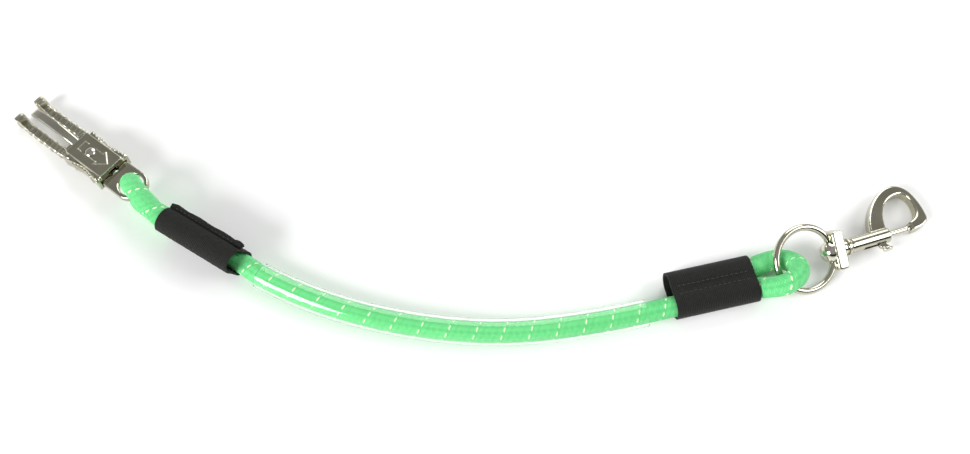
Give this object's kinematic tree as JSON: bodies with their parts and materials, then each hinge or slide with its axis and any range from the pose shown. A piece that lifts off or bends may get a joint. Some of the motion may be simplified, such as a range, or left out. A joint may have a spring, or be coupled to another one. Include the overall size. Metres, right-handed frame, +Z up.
{
  "type": "lead rope",
  "caption": "Short horse tie lead: braided rope in a clear hose, looped at both ends through sewn sleeves, with a quick-release panic hook and a swivel bolt snap.",
  "frame": {"origin": "Middle of the two hooks' box on the surface that the lead lies on; the box is measured without the rope, hose and sleeves.", "axes": "+X from the panic hook to the bolt snap along the lead, +Y away from the belly of the rope, +Z up."},
  "size_m": [0.5411, 0.1621, 0.0292],
  "materials": {
    "braid": "neon green braided sheath with pale tracer flecks",
    "core_yarn": "stretch core of pale strands",
    "clear_vinyl": "clear glossy soft vinyl hose",
    "webbing": "black cross-ribbed webbing",
    "thread": "dark sewing thread",
    "nickel": "warm nickel plate with light wear",
    "spring_steel": "bare spring steel"
  },
  "bodies": {
    "rope": {"rope_sheath": "braid", "rope_core": "core_yarn", "clear_hose": "clear_vinyl", "sleeve_left": "webbing", "sleeve_right": "webbing", "stitch_row_left": "thread", "stitch_row_right_a": "thread", "stitch_row_right_b": "thread"},
    "hook": {"hook_body": "nickel", "jaw_pin": "spring_steel", "collar_spring": "spring_steel"},
    "collar": {"release_collar": "nickel", "collar_pin": "nickel"},
    "jaw": {"hook_jaw": "nickel"},
    "ring": {"swivel_ring": "nickel"},
    "snap": {"snap_body": "nickel", "swivel_rivet": "nickel", "swivel_washer": "nickel", "bolt_spring": "spring_steel"},
    "bolt": {"snap_bolt": "nickel"}
  },
  "joints": [
    {"name": "hook_swing", "type": "hinge", "parent": "rope", "child": "hook", "pos_m": [-0.18513, -0.00806, 0.0147], "axis": [0.8191, 0.5736, 0], "range_deg": [-90, 90]},
    {"name": "collar_slide", "type": "slide", "parent": "hook", "child": "collar", "axis": [0.7851, -0.6134, 0.0854], "range_m": [0, 0.007], "stiffness_N_per_m": 800, "springref_m": -0.004, "deforming": ["collar_spring"]},
    {"name": "jaw_pivot", "type": "hinge", "parent": "hook", "child": "jaw", "pos_m": [-0.22301, 0.02469, 0.01087], "axis": [0.6157, 0.788, 0], "range_deg": [0, 75]},
    {"name": "ring_swing", "type": "hinge", "parent": "rope", "child": "ring", "pos_m": [0.17932, -0.05676, 0.01134], "axis": [0.4759, -0.7188, -0.5069], "range_deg": [-45, 90]},
    {"name": "snap_swivel", "type": "hinge", "parent": "ring", "child": "snap", "pos_m": [0.1945, -0.0471, 0.0119], "axis": [0.9378, 0.3321, -0.1011], "continuous": true},
    {"name": "bolt_slide", "type": "slide", "parent": "snap", "child": "bolt", "axis": [-0.9378, -0.3321, 0.1011], "range_m": [0, 0.009], "stiffness_N_per_m": 500, "springref_m": -0.004, "deforming": ["bolt_spring"]}
  ],
  "couplings": [
    {"joint": "jaw_pivot", "follows": "collar_slide", "rad_per_m": 186.9}
  ]
}
